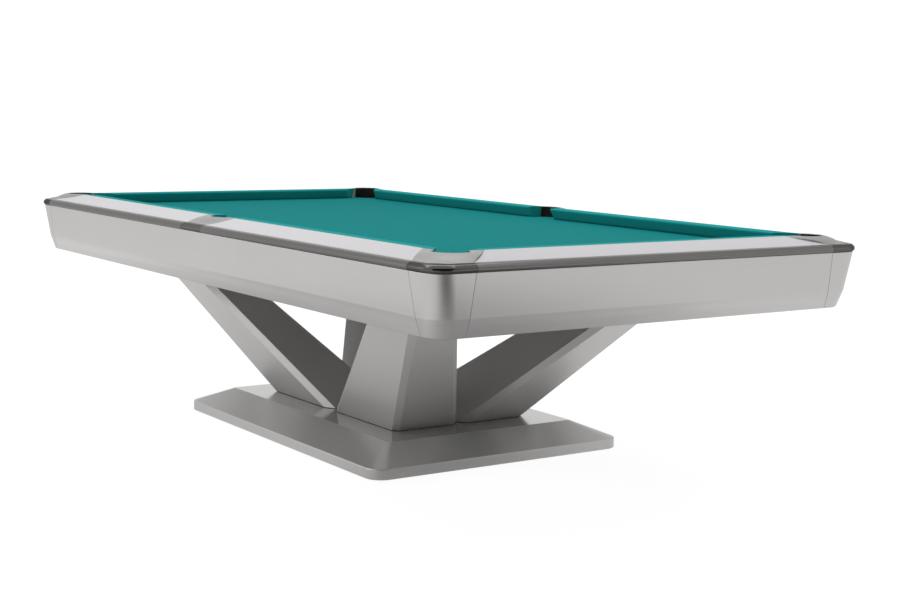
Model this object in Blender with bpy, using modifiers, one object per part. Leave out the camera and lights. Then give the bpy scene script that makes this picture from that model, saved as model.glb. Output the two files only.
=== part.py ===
"""Nine-foot pool table: slate bed on a subframe, four splayed legs and a bevelled base plate.

Metres, +Z up. The table stands on Z = 0 and is centred on the origin, with its length along X.
Most pieces are drawn for the (+X, +Y) quadrant and mirrored by a pair of signs.
"""

import math

import bmesh
import bpy
from mathutils import Euler, Vector

GAP = 0.0003                     # between pieces that touch

# Playing surface: distances are measured from the table's centre
STRIP_X, STRIP_Y = 1.320, 0.685  # feather strips, where the cushions meet the rails
CUSHION_DEPTH = 0.050            # nose to feather strip
RAIL_TOP = 0.7895                # at the feather strip
RAIL_DROP = 0.0215               # fall of the rail top towards its outer edge
BED_TOP = 0.7492                 # top of the bed cloth
CLOTH = 0.0009
SLATE_TOP = 0.7480
SLATE = 0.030
SLATE_X, SLATE_Y = 1.3547, 0.7197
SLATE_JOINT = 0.450              # joints of the three slates
NOSE_HEIGHT = 0.0363             # nose above the bed cloth

# Outer edge
OUTER_X, OUTER_Y = 1.434, 0.799  # outermost line of the edge trim
TRIM_WIDTH = 0.0234
TRIM_TOP = RAIL_TOP - RAIL_DROP
TRIM_BOTTOM = 0.7447
TRIM_CORNER = 0.075              # plan radius of the rounded corner
CORNER_RUN_X, CORNER_RUN_Y = 0.125, 0.138  # corner pieces reach this far along each side
LEAN_X, LEAN_Y = 0.016, 0.009    # their apron seams lean towards the corner by this at the lower edge
LIP_HALF = 0.075                 # half width of the side casting's lip in the trim

# Aprons, from the flange under the trim to the turned-in lower edge:
# height, inset from the outermost line, plan radius at the corner
APRON_LEVELS = (
    (0.7444, 0.0300, 0.049), (0.7444, 0.0050, 0.070), (0.6220, 0.0225, 0.0675),
    (0.5695, 0.0375, 0.065), (0.5695, 0.0495, 0.059))
SHEET = 0.003

# Pockets
# From the corner of the nose lines back to the nose ends of the long and the end cushions
MOUTH_LONG, MOUTH_END = 0.070, 0.092
MITRE_CORNER = math.radians(38)  # the corner facings turn outwards by this
MOUTH_SIDE = 0.0660              # half of the side mouth, between the noses
MITRE_SIDE = math.radians(14)
BACK_DRAFT = math.radians(12)    # every facing leans back below the nose
CORNER_POCKET = (STRIP_X - 0.007, STRIP_Y - 0.021)  # its centre, in from both feather strips
CORNER_RADIUS = 0.0510
SIDE_CENTRE = STRIP_Y - 0.0075
SIDE_RADII = (0.0580, 0.0375)
LINER_WALL = 0.003
LINER_BOTTOM = 0.6150
LINER_BELOW_RIM = 0.0015         # its edge stays under the casting's top
SIDE_DISC = 0.097                # radius of the side casting's face
SIDE_DISC_Y = STRIP_Y + 0.020
# Inner and outer end of the corner casting's seams, back from the corner of the strips
SEAM_LONG, SEAM_END = (0.104, 0.019), (0.122, 0.026)
SEAM_BULGE = 0.004

# Frame, legs and base
BEAM_TOP = SLATE_TOP - SLATE - GAP
BEAM_BOTTOM = 0.6280
BEAM_Y, BEAM_WIDTH, BEAM_HALF_LENGTH = 0.500, 0.080, 1.240
CROSS_WIDTH = 0.120
# Leg section at the foot and at the top: x inner, x outer, y inner, y outer
LEG_FOOT = (0.002, 0.421, 0.002, 0.265)
LEG_TOP = (0.734, 0.979, 0.390, 0.545)
# Chamfers as (along X, along Y): inner edge, end edge, outermost edge, side edge
LEG_CHAMFERS = ((0.022, 0.022), (0.026, 0.032), (0.019, 0.019), (0.040, 0.024))
PLATE_X, PLATE_Y, PLATE_RADIUS = 0.672, 0.494, 0.056
PLATEAU_X, PLATEAU_Y, PLATEAU_RADIUS = 0.548, 0.367, 0.012
PLATE_BOTTOM, PLATE_EDGE_TOP, PLATE_TOP = 0.012, 0.047, 0.0995

# Levelling feet
FOOT_X, FOOT_Y = 0.570, 0.405
PAD_RADIUS, PAD_HEIGHT = 0.032, 0.0115
SOCKET_RADIUS, SOCKET_DEPTH = 0.0070, 0.0060
STEM_RADIUS, STEM_TOP = 0.0080, 0.0560
TIP_RADIUS = 0.0064
BORE_RADIUS, BORE_TOP = 0.0085, 0.0600

QUADRANTS = {"front_left": (-1, -1), "front_right": (1, -1), "back_left": (-1, 1), "back_right": (1, 1)}

for stale in list(bpy.data.objects):
    bpy.data.objects.remove(stale, do_unlink=True)
table = bpy.data.collections.new("pool_table")
cutters = bpy.data.collections.new("cutters")
bpy.context.scene.collection.children.link(table)
bpy.context.scene.collection.children.link(cutters)


# ---------------------------------------------------------------- materials

def material(name, colour, roughness, metallic=0.0):
    """One Principled material."""
    made = bpy.data.materials.new(name)
    made.use_nodes = True
    shader = made.node_tree.nodes["Principled BSDF"]
    shader.inputs["Base Color"].default_value = (*colour, 1.0)
    shader.inputs["Roughness"].default_value = roughness
    shader.inputs["Metallic"].default_value = metallic
    return made


BRUSHED = material("brushed_apron", (0.50, 0.49, 0.48), 0.38, 1.0)
CAST = material("cast_metal", (0.42, 0.42, 0.43), 0.34, 1.0)
PEWTER = material("pewter_trim", (0.13, 0.12, 0.11), 0.30, 1.0)
LAMINATE = material("white_laminate", (0.68, 0.67, 0.69), 0.30)
TEAL = material("teal_cloth", (0.013, 0.255, 0.250), 0.90)
SLATE_GREY = material("slate", (0.09, 0.10, 0.11), 0.70)
BLACK = material("black_liner", (0.006, 0.006, 0.006), 0.55)
LEG_PAINT = material("leg_paint", (0.38, 0.37, 0.36), 0.36, 0.6)
BASE_PAINT = material("base_paint", (0.30, 0.30, 0.31), 0.32, 0.6)
FRAME_PAINT = material("frame_paint", (0.05, 0.05, 0.05), 0.5)
STEEL = material("zinc_steel", (0.55, 0.55, 0.56), 0.35, 1.0)


# ---------------------------------------------------------------- building blocks

def add(name, mesh, look, collection=table):
    """Puts a mesh in the scene as one named object."""
    made = bpy.data.objects.new(name, mesh)
    collection.objects.link(made)
    if look is not None:
        mesh.materials.append(look)
    else:
        made.hide_render = True
        made.display_type = "WIRE"
    return made


def tidy(mesh):
    """Welds loose caps and turns every face outwards."""
    work = bmesh.new()
    work.from_mesh(mesh)
    bmesh.ops.remove_doubles(work, verts=work.verts, dist=0.00001)
    bmesh.ops.recalc_face_normals(work, faces=work.faces)
    work.to_mesh(mesh)
    work.free()


def arc(centre, radius, start, end, steps=8):
    """Points on an arc or, with a pair of radii, an ellipse; angles in degrees."""
    across, along = radius if isinstance(radius, tuple) else (radius, radius)
    turns = [math.radians(start + (end - start) * step / steps) for step in range(steps + 1)]
    return [(centre[0] + across * math.cos(turn), centre[1] + along * math.sin(turn)) for turn in turns]


def bowed(start, end, bulge, steps=6):
    """Points on the shallow arc from start to end; a positive bulge leans left of the way."""
    start, end = Vector(start), Vector(end)
    chord = end - start
    left = Vector((-chord.y, chord.x)).normalized()
    radius = (chord.length / 2) ** 2 / (2 * abs(bulge)) + abs(bulge) / 2
    side = math.copysign(1.0, bulge)
    centre = (start + end) / 2 - left * side * (radius - abs(bulge))
    half = math.asin(chord.length / 2 / radius)
    points = []
    for step in range(steps + 1):
        turn = half - 2 * half * step / steps
        offset = left * side * math.cos(turn) - chord.normalized() * math.sin(turn)
        points.append(tuple(centre + offset * radius))
    return points


def flat_solid(name, outline, bottom, top, look, collection=table, rotation=(0.0, 0.0, 0.0)):
    """A flat outline drawn as a filled 2D curve and extruded between two heights."""
    curve = bpy.data.curves.new(name, "CURVE")
    curve.dimensions = "2D"
    curve.fill_mode = "BOTH"
    curve.extrude = (top - bottom) / 2
    spline = curve.splines.new("POLY")
    spline.points.add(len(outline) - 1)
    for point, (across, along) in zip(spline.points, outline):
        point.co = (across, along, 0.0, 1.0)
    spline.use_cyclic_u = True
    drawn = bpy.data.objects.new(name + "_curve", curve)
    bpy.context.scene.collection.objects.link(drawn)
    drawn.rotation_euler = rotation
    drawn.location = Euler(rotation).to_matrix() @ Vector((0.0, 0.0, (top + bottom) / 2))
    bpy.context.view_layer.update()
    evaluated = drawn.evaluated_get(bpy.context.evaluated_depsgraph_get())
    mesh = bpy.data.meshes.new_from_object(evaluated)
    tidy(mesh)
    made = add(name, mesh, look, collection)
    made.matrix_world = drawn.matrix_world
    bpy.data.objects.remove(drawn, do_unlink=True)
    bpy.data.curves.remove(curve)
    return made


def bar_along_x(name, section, low, high, look, collection=table):
    """A (y, z) section run along X."""
    turned = (math.pi / 2, 0.0, math.pi / 2)
    return flat_solid(name, section, low, high, look, collection, turned)


def bar_along_y(name, section, low, high, look, collection=table):
    """An (x, z) section run along Y."""
    turned = (math.pi / 2, 0.0, 0.0)
    return flat_solid(name, section, -high, -low, look, collection, turned)


def cylinder(name, radius, centre, bottom, top, look=None, collection=cutters, sides=40):
    """An upright cylinder, or an ellipse with a pair of radii."""
    across, along = radius if isinstance(radius, tuple) else (radius, radius)
    work = bmesh.new()
    bmesh.ops.create_cone(work, cap_ends=True, segments=sides, radius1=1.0, radius2=1.0, depth=top - bottom)
    bmesh.ops.scale(work, vec=(across, along, 1.0), verts=work.verts)
    mesh = bpy.data.meshes.new(name)
    work.to_mesh(mesh)
    work.free()
    made = add(name, mesh, look, collection)
    made.location = (*centre, (top + bottom) / 2)
    return made


def box(name, low, high, look=None, collection=cutters):
    """A box between two corners."""
    work = bmesh.new()
    bmesh.ops.create_cube(work, size=1.0)
    bmesh.ops.scale(work, vec=[b - a for a, b in zip(low, high)], verts=work.verts)
    mesh = bpy.data.meshes.new(name)
    work.to_mesh(mesh)
    work.free()
    made = add(name, mesh, look, collection)
    made.location = [(a + b) / 2 for a, b in zip(low, high)]
    return made


def boolean(target, tool, operation="DIFFERENCE"):
    """Adds one exact boolean to an object."""
    step = target.modifiers.new(operation.lower(), "BOOLEAN")
    step.operation = operation
    step.solver = "EXACT"
    step.object = tool


def loft(name, rings, look, collection=table):
    """A closed solid through rings of equal point count."""
    work = bmesh.new()
    made = [[work.verts.new(point) for point in ring] for ring in rings]
    count = len(rings[0])
    for low, high in zip(made, made[1:]):
        for index in range(count):
            after = (index + 1) % count
            work.faces.new((low[index], low[after], high[after], high[index]))
    work.faces.new(list(reversed(made[0])))
    work.faces.new(made[-1])
    bmesh.ops.recalc_face_normals(work, faces=work.faces)
    mesh = bpy.data.meshes.new(name)
    work.to_mesh(mesh)
    work.free()
    return add(name, mesh, look, collection)


def sheet(name, rows, look, thickness=SHEET):
    """An open skin through rows of points, thickened away from its outer side."""
    work = bmesh.new()
    made = [[work.verts.new(point) for point in row] for row in rows]
    for upper, lower in zip(made, made[1:]):
        for index in range(len(upper) - 1):
            work.faces.new((upper[index], upper[index + 1], lower[index + 1], lower[index]))
    work.normal_update()
    middle = made[0][len(made[0]) // 2].co
    outward = Vector((middle.x, middle.y, 0.0))
    if sum(outward.dot(face.normal) * face.calc_area() for face in work.faces) < 0:
        bmesh.ops.reverse_faces(work, faces=work.faces)
    mesh = bpy.data.meshes.new(name)
    work.to_mesh(mesh)
    work.free()
    skin = add(name, mesh, look)
    solidify = skin.modifiers.new("thickness", "SOLIDIFY")
    solidify.thickness = thickness
    solidify.offset = -1.0
    solidify.use_even_offset = True
    return skin


def signed(points, sign_x, sign_y):
    """Mirrors plan points into another quadrant."""
    return [(x * sign_x, y * sign_y, *rest) for x, y, *rest in points]


def round_rectangle(half_x, half_y, radius, steps=6):
    """Outline of a rectangle with round corners."""
    outline = []
    for start, sign_x, sign_y in ((-90, 1, -1), (0, 1, 1), (90, -1, 1), (180, -1, -1)):
        centre = (sign_x * (half_x - radius), sign_y * (half_y - radius))
        outline += arc(centre, radius, start, start + 90, steps)
    return outline


# ---------------------------------------------------------------- base, feet and legs

def make_base():
    """Bevelled plate: an upright edge, sloping shoulders and a flat plateau for the legs."""
    rim = 0.003
    levels = ((PLATE_BOTTOM, 0.0), (PLATE_EDGE_TOP - rim, 0.0), (PLATE_EDGE_TOP, rim))
    rings = []
    for height, inset in levels:
        outline = round_rectangle(PLATE_X - inset, PLATE_Y - inset, PLATE_RADIUS - inset)
        rings.append([(x, y, height) for x, y in outline])
    plateau = round_rectangle(PLATEAU_X, PLATEAU_Y, PLATEAU_RADIUS)
    rings.append([(x, y, PLATE_TOP) for x, y in plateau])
    plate = loft("base_plate", rings, BASE_PAINT)
    for corner, (sign_x, sign_y) in QUADRANTS.items():
        place = (sign_x * FOOT_X, sign_y * FOOT_Y)
        bore = cylinder("cut_bore_" + corner, BORE_RADIUS, place, 0.0, BORE_TOP, sides=24)
        boolean(plate, bore)


def make_feet():
    """Levelling feet: a pad on the floor and a threaded stem that turns in it."""
    for corner, (sign_x, sign_y) in QUADRANTS.items():
        place = (sign_x * FOOT_X, sign_y * FOOT_Y)
        pad = cylinder("foot_pad_" + corner, PAD_RADIUS, place, 0.0, PAD_HEIGHT, STEEL, table, 32)
        socket_floor = PAD_HEIGHT - SOCKET_DEPTH
        socket = cylinder("cut_socket_" + corner, SOCKET_RADIUS, place, socket_floor, 0.03, sides=24)
        boolean(pad, socket)
        tip_bottom = socket_floor + GAP
        stem_bottom = PAD_HEIGHT + GAP
        stem = cylinder("foot_stem_" + corner, STEM_RADIUS, place, stem_bottom, STEM_TOP, STEEL, table, 24)
        tip = cylinder("join_tip_" + corner, TIP_RADIUS, place, tip_bottom, stem_bottom + 0.004, sides=24)
        boolean(stem, tip, "UNION")


def leg_section(limits, height):
    """Chamfered rectangle of one leg at one height, anticlockwise in the (+X, +Y) quadrant."""
    x_in, x_out, y_in, y_out = limits
    inner, end, outermost, side = LEG_CHAMFERS
    return [
        (x_in + inner[0], y_in, height), (x_out - end[0], y_in, height),
        (x_out, y_in + end[1], height), (x_out, y_out - outermost[1], height),
        (x_out - outermost[0], y_out, height), (x_in + side[0], y_out, height),
        (x_in, y_out - side[1], height), (x_in, y_in + inner[1], height)]


def make_legs():
    """Four legs that stand together on the plateau and splay towards the table's corners."""
    for corner, (sign_x, sign_y) in QUADRANTS.items():
        foot = leg_section(LEG_FOOT, PLATE_TOP + GAP)
        top = leg_section(LEG_TOP, BEAM_BOTTOM - GAP)
        loft("leg_" + corner, [signed(foot, sign_x, sign_y), signed(top, sign_x, sign_y)], LEG_PAINT)


def make_frame():
    """Welded subframe: two long members on the legs, two cross members under the slates' joints."""
    reach = BEAM_Y + BEAM_WIDTH / 2
    low, high = (-BEAM_HALF_LENGTH, -reach, BEAM_BOTTOM), (BEAM_HALF_LENGTH, reach, BEAM_TOP)
    frame = box("subframe", low, high, FRAME_PAINT, table)
    inner = BEAM_Y - BEAM_WIDTH / 2
    edge = SLATE_JOINT + CROSS_WIDTH / 2
    bays = {"left": (-2.0, -edge), "middle": (-edge + CROSS_WIDTH, edge - CROSS_WIDTH), "right": (edge, 2.0)}
    for bay, (start, end) in bays.items():
        opening = box("cut_bay_" + bay, (start, -inner, 0.5), (end, inner, 0.8))
        boolean(frame, opening)


# ---------------------------------------------------------------- bed and pockets

def pocket_tools(clearance, bottom, top, label):
    """Six cutters shaped like the pockets, open towards the table's outside."""
    tools = {}
    for corner, (sign_x, sign_y) in QUADRANTS.items():
        outline = arc(CORNER_POCKET, CORNER_RADIUS + clearance, 135, 315, 20)
        outline += [(x + 0.12, y + 0.12) for x, y in (outline[-1], outline[0])]
        name = "cut_" + label + "_" + corner
        tools[corner] = flat_solid(name, signed(outline, sign_x, sign_y), bottom, top, None, cutters)
    for side, sign in (("front", -1), ("back", 1)):
        radii = (SIDE_RADII[0] + clearance, SIDE_RADII[1] + clearance)
        outline = arc((0.0, SIDE_CENTRE), radii, 180, 360, 20)
        outline += [(radii[0], SIDE_CENTRE + 0.12), (-radii[0], SIDE_CENTRE + 0.12)]
        name = "cut_" + label + "_" + side
        tools[side] = flat_solid(name, signed(outline, 1, sign), bottom, top, None, cutters)
    return tools


def make_bed():
    """Three slates, cut away at the pockets, under one stretched cloth."""
    tools = pocket_tools(0.0007, SLATE_TOP - SLATE - 0.01, BED_TOP + 0.01, "slate")
    spans = {
        "left": (-SLATE_X, -SLATE_JOINT - GAP), "centre": (-SLATE_JOINT + GAP, SLATE_JOINT - GAP),
        "right": (SLATE_JOINT + GAP, SLATE_X)}
    cuts = {
        "left": ("front_left", "back_left"), "centre": ("front", "back"),
        "right": ("front_right", "back_right")}
    for place, (low, high) in spans.items():
        bottom = SLATE_TOP - SLATE
        slate = box("slate_" + place, (low, -SLATE_Y, bottom), (high, SLATE_Y, SLATE_TOP), SLATE_GREY, table)
        for cut in cuts[place]:
            boolean(slate, tools[cut])
    reach_x, reach_y = STRIP_X - 2 * GAP, STRIP_Y - 2 * GAP
    low = (-reach_x, -reach_y, BED_TOP - CLOTH)
    cloth = box("bed_cloth", low, (reach_x, reach_y, BED_TOP), TEAL, table)
    for tool in tools.values():
        boolean(cloth, tool)


def make_liners():
    """Black moulded cups: a full ring under the bed and a back wall up to the casting's rim."""
    places = {}
    for corner, (sign_x, sign_y) in QUADRANTS.items():
        centre = (sign_x * CORNER_POCKET[0], sign_y * CORNER_POCKET[1])
        places[corner] = (centre, (CORNER_RADIUS, CORNER_RADIUS))
    for side, sign in (("front", -1), ("back", 1)):
        places[side] = ((0.0, sign * SIDE_CENTRE), SIDE_RADII)
    inner_box = ((-STRIP_X - GAP, -STRIP_Y - GAP, SLATE_TOP - GAP), (STRIP_X + GAP, STRIP_Y + GAP, 0.82))
    mouth = box("cut_mouth", *inner_box)
    for label, (centre, radii) in places.items():
        top = RAIL_TOP - LINER_BELOW_RIM
        cup = cylinder("pocket_liner_" + label, radii, centre, LINER_BOTTOM, top, BLACK, table)
        bore = (radii[0] - LINER_WALL, radii[1] - LINER_WALL)
        hollow = cylinder("cut_liner_" + label, bore, centre, LINER_BOTTOM + LINER_WALL, 0.83)
        boolean(cup, hollow)
        boolean(cup, mouth)


# ---------------------------------------------------------------- rails, castings and cushions

RAIL_BACK_X, RAIL_BACK_Y = OUTER_X - TRIM_WIDTH - GAP, OUTER_Y - TRIM_WIDTH - GAP
RAIL_BOTTOM = SLATE_TOP + GAP
RAIL_FALL_RUN = OUTER_Y - TRIM_WIDTH - STRIP_Y


def make_roof():
    """Intersection tool whose four slopes give the rails their falling tops."""
    depth = 0.09
    spread = depth * RAIL_FALL_RUN / RAIL_DROP
    rings = []
    for reach, height in ((spread, RAIL_TOP - depth), (0.0, RAIL_TOP)):
        far_x, far_y = STRIP_X + reach, STRIP_Y + reach
        corners = ((-1, -1), (1, -1), (1, 1), (-1, 1))
        rings.append([(sign_x * far_x, sign_y * far_y, height) for sign_x, sign_y in corners])
    return loft("cut_roof", rings, None, cutters)


def corner_seam(clearance, ends=SEAM_LONG):
    """The casting's seam across the long rail, from the feather strip outwards."""
    inner = (STRIP_X - ends[0] - clearance, STRIP_Y + GAP)
    outer = (STRIP_X - ends[1] - clearance, RAIL_BACK_Y)
    return bowed(inner, outer, SEAM_BULGE)


def corner_seam_end(clearance):
    """The casting's seam across the end rail, mirrored over the corner's diagonal."""
    seam = corner_seam(clearance, SEAM_END)
    return [(STRIP_X + (y - STRIP_Y), STRIP_Y + (x - STRIP_X)) for x, y in seam]


def side_seam(clearance):
    """The side casting's round seam, from the outer edge to the feather strip, at +X."""
    radius = SIDE_DISC + clearance
    start = math.degrees(math.asin((RAIL_BACK_Y - SIDE_DISC_Y) / radius))
    end = math.degrees(math.asin((STRIP_Y + GAP - SIDE_DISC_Y) / radius))
    return arc((0.0, SIDE_DISC_Y), radius, start, end, 8)


def make_rails(roof):
    """Six laminated rail tops between the castings."""
    long_rail = side_seam(GAP)[::-1] + corner_seam(GAP)[::-1]
    for corner, (sign_x, sign_y) in QUADRANTS.items():
        outline = signed(long_rail, sign_x, sign_y)
        rail = flat_solid("rail_" + corner, outline, RAIL_BOTTOM, RAIL_TOP + 0.01, LAMINATE)
        boolean(rail, roof, "INTERSECT")
    half = corner_seam_end(GAP)
    end_rail = half + signed(half, 1, -1)[::-1]
    for end, sign in (("left", -1), ("right", 1)):
        rail = flat_solid("rail_end_" + end, signed(end_rail, sign, 1), RAIL_BOTTOM, RAIL_TOP + 0.01, LAMINATE)
        boolean(rail, roof, "INTERSECT")


def spaced(path, count):
    """The same polyline as evenly spaced points."""
    path = [Vector(point) for point in path]
    lengths = [0.0]
    for first, second in zip(path, path[1:]):
        lengths.append(lengths[-1] + (second - first).length)
    points, place = [], 0
    for step in range(count):
        goal = lengths[-1] * step / (count - 1)
        while place < len(path) - 2 and lengths[place + 1] < goal:
            place += 1
        share = (goal - lengths[place]) / (lengths[place + 1] - lengths[place])
        points.append(tuple(path[place].lerp(path[place + 1], min(1.0, share))))
    return points


def casting_rings(hole, outer):
    """Sections from the hole's rim, at full height, to an outer line at the rails' height."""
    rings = []
    for (in_x, in_y), (out_x, out_y) in zip(spaced(hole, len(outer)), outer):
        reach = max(out_x - STRIP_X, out_y - STRIP_Y, 0.0)
        edge = RAIL_TOP - RAIL_DROP * min(1.0, reach / RAIL_FALL_RUN)
        rings.append([
            (in_x, in_y, RAIL_BOTTOM), (in_x, in_y, RAIL_TOP),
            (out_x, out_y, edge), (out_x, out_y, RAIL_BOTTOM)])
    return rings


def make_corner_castings():
    """Corner pocket castings, open towards the bed."""
    radius = CORNER_RADIUS + 0.0005
    start = math.degrees(math.asin((STRIP_Y + GAP - CORNER_POCKET[1]) / radius))
    end = math.degrees(math.acos((STRIP_X + GAP - CORNER_POCKET[0]) / radius))
    hole = arc(CORNER_POCKET, radius, 180 - start, -end, 32)
    bend = TRIM_CORNER - TRIM_WIDTH
    outer = corner_seam(0.0)
    outer += arc((RAIL_BACK_X - bend, RAIL_BACK_Y - bend), bend, 90, 0, 8)
    outer += corner_seam_end(0.0)[::-1]
    for corner, (sign_x, sign_y) in QUADRANTS.items():
        rings = [signed(ring, sign_x, sign_y) for ring in casting_rings(hole, outer)]
        loft("corner_casting_" + corner, rings, CAST)


def trim_section(outer):
    """Rounded edge section as (distance from the centre, height)."""
    inner = outer - TRIM_WIDTH
    top = arc((outer - 0.013, TRIM_TOP - 0.013), 0.013, 90, 0, 5)
    low = arc((outer - 0.005, TRIM_BOTTOM + 0.005), 0.005, 0, -90, 3)
    return [(inner, TRIM_BOTTOM), (inner, TRIM_TOP)] + top + low


def make_side_castings():
    """Side pocket castings: a round face in the rail and a lip that interrupts the trim."""
    radii = (SIDE_RADII[0] + 0.0005, SIDE_RADII[1] + 0.0005)
    lift = (STRIP_Y + GAP - SIDE_CENTRE) / radii[1]
    start = math.degrees(math.asin(lift))
    hole = arc((0.0, SIDE_CENTRE), radii, 180 - start, start, 28)
    half = side_seam(0.0)
    root = [(half[0][0], OUTER_Y - TRIM_WIDTH + 0.002)]
    outer = signed(half, -1, 1)[::-1] + signed(root, -1, 1) + [(0.0, root[0][1])] + root + half
    for side, sign in (("front", -1), ("back", 1)):
        rings = [signed(ring, 1, sign) for ring in casting_rings(hole, outer)]
        casting = loft("side_casting_" + side, rings, CAST)
        section = [(sign * y, z) for y, z in trim_section(OUTER_Y)]
        lip = bar_along_x("join_lip_" + side, section, -LIP_HALF, LIP_HALF, None, cutters)
        boolean(casting, lip, "UNION")


def cushion_section(strip):
    """K-shaped cushion section as (distance from the centre, height)."""
    nose = strip - CUSHION_DEPTH
    height = BED_TOP + NOSE_HEIGHT
    return [
        (strip - GAP, RAIL_TOP - GAP), (nose + 0.0035, height + 0.0022), (nose, height),
        (nose + 0.0007, height - 0.0020), (nose + 0.0160, BED_TOP + 0.0023), (strip - GAP, BED_TOP + 0.0013)]


def slice_off(thing, point, heading):
    """Cuts a cushion's mesh along a facing that looks along heading and leans back below."""
    normal = (heading[0], heading[1], -math.tan(BACK_DRAFT))
    place = thing.matrix_world.inverted()
    local_point = place @ Vector(point)
    local_normal = place.to_3x3() @ Vector(normal)
    work = bmesh.new()
    work.from_mesh(thing.data)
    geometry = work.verts[:] + work.edges[:] + work.faces[:]
    bmesh.ops.bisect_plane(work, geom=geometry, plane_co=local_point, plane_no=local_normal, clear_outer=True)
    bmesh.ops.holes_fill(work, edges=[edge for edge in work.edges if edge.is_boundary])
    bmesh.ops.recalc_face_normals(work, faces=work.faces)
    work.to_mesh(thing.data)
    work.free()


def make_cushions():
    """Six cloth-covered cushions, mitred towards the pockets."""
    nose_x, nose_y = STRIP_X - CUSHION_DEPTH, STRIP_Y - CUSHION_DEPTH
    nose_height = BED_TOP + NOSE_HEIGHT
    out_x, out_y = math.sin(MITRE_CORNER), math.cos(MITRE_CORNER)
    for corner, (sign_x, sign_y) in QUADRANTS.items():
        section = [(sign_y * y, z) for y, z in cushion_section(STRIP_Y)]
        low, high = sorted((0.0, sign_x * STRIP_X))
        cushion = bar_along_x("cushion_" + corner, section, low, high, TEAL)
        bpy.context.view_layer.update()
        mouth = (sign_x * (nose_x - MOUTH_LONG), sign_y * nose_y, nose_height)
        slice_off(cushion, mouth, (sign_x * out_x, -sign_y * out_y))
        side_mouth = (sign_x * MOUTH_SIDE, sign_y * nose_y, nose_height)
        slice_off(cushion, side_mouth, (-sign_x * math.cos(MITRE_SIDE), -sign_y * math.sin(MITRE_SIDE)))
    for end, sign in (("left", -1), ("right", 1)):
        section = [(sign * x, z) for x, z in cushion_section(STRIP_X)]
        cushion = bar_along_y("cushion_end_" + end, section, -STRIP_Y, STRIP_Y, TEAL)
        bpy.context.view_layer.update()
        for way in (-1, 1):
            mouth = (sign * nose_x, way * (nose_y - MOUTH_END), nose_height)
            slice_off(cushion, mouth, (-sign * out_y, way * out_x))


# ---------------------------------------------------------------- trim and aprons

def make_trims():
    """Rounded metal edge: six straight lengths and four bent corners."""
    run_x, run_y = OUTER_X - CORNER_RUN_X, OUTER_Y - CORNER_RUN_Y
    for corner, (sign_x, sign_y) in QUADRANTS.items():
        section = [(sign_y * y, z) for y, z in trim_section(OUTER_Y)]
        low, high = sorted((sign_x * (LIP_HALF + GAP), sign_x * (run_x - GAP)))
        bar_along_x("trim_" + corner, section, low, high, PEWTER)
        bend_trim(corner, sign_x, sign_y, run_x, run_y)
    for end, sign in (("left", -1), ("right", 1)):
        section = [(sign * x, z) for x, z in trim_section(OUTER_X)]
        bar_along_y("trim_end_" + end, section, -run_y + GAP, run_y - GAP, PEWTER)


def bend_trim(corner, sign_x, sign_y, run_x, run_y):
    """One corner of the edge, its section carried along two straights and a bend."""
    centre_x, centre_y = OUTER_X - TRIM_CORNER, OUTER_Y - TRIM_CORNER
    stations = [(run_x, centre_y, 90.0)] + [(centre_x, centre_y, 90.0 - 11.25 * step) for step in range(9)]
    stations.append((centre_x, run_y, 0.0))
    rings = []
    for x, y, heading in stations:
        turn = math.radians(heading)
        ring = []
        for distance, height in trim_section(TRIM_CORNER):
            ring.append((x + distance * math.cos(turn), y + distance * math.sin(turn), height))
        rings.append(signed(ring, sign_x, sign_y))
    loft("corner_trim_" + corner, rings, PEWTER)


def lean(height):
    """Share of the apron seams' lean reached at one height."""
    return (TRIM_BOTTOM - height) / (TRIM_BOTTOM - APRON_LEVELS[-1][0])


def make_aprons():
    """Folded sheet aprons: four straight lengths and four rounded corners."""
    run_x, run_y = OUTER_X - CORNER_RUN_X, OUTER_Y - CORNER_RUN_Y
    for side, sign in (("front", -1), ("back", 1)):
        rows = []
        for height, inset, radius in APRON_LEVELS:
            reach = run_x - GAP + LEAN_X * lean(height)
            rows.append([(x, sign * (OUTER_Y - inset), height) for x in (-reach, 0.0, reach)])
        sheet("apron_" + side, rows, BRUSHED)
    for end, sign in (("left", -1), ("right", 1)):
        rows = []
        for height, inset, radius in APRON_LEVELS:
            reach = run_y - GAP + LEAN_Y * lean(height)
            rows.append([(sign * (OUTER_X - inset), y, height) for y in (-reach, 0.0, reach)])
        sheet("apron_end_" + end, rows, BRUSHED)
    for corner, (sign_x, sign_y) in QUADRANTS.items():
        rows = []
        for height, inset, radius in APRON_LEVELS:
            centre = (OUTER_X - inset - radius, OUTER_Y - inset - radius)
            outline = [(run_x + LEAN_X * lean(height), OUTER_Y - inset)]
            outline += arc(centre, radius, 90, 0, 8)
            outline += [(OUTER_X - inset, run_y + LEAN_Y * lean(height))]
            rows.append([(x, y, height) for x, y in signed(outline, sign_x, sign_y)])
        sheet("corner_apron_" + corner, rows, BRUSHED)


make_base()
make_feet()
make_legs()
make_frame()
make_bed()
make_liners()
make_rails(make_roof())
make_corner_castings()
make_side_castings()
make_cushions()
make_trims()
make_aprons()
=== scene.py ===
"""Looks for the nine-foot pool table: detailed pieces, materials, studio and camera."""

import math

import bmesh
import bpy
from mathutils import Matrix, Vector


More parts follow.
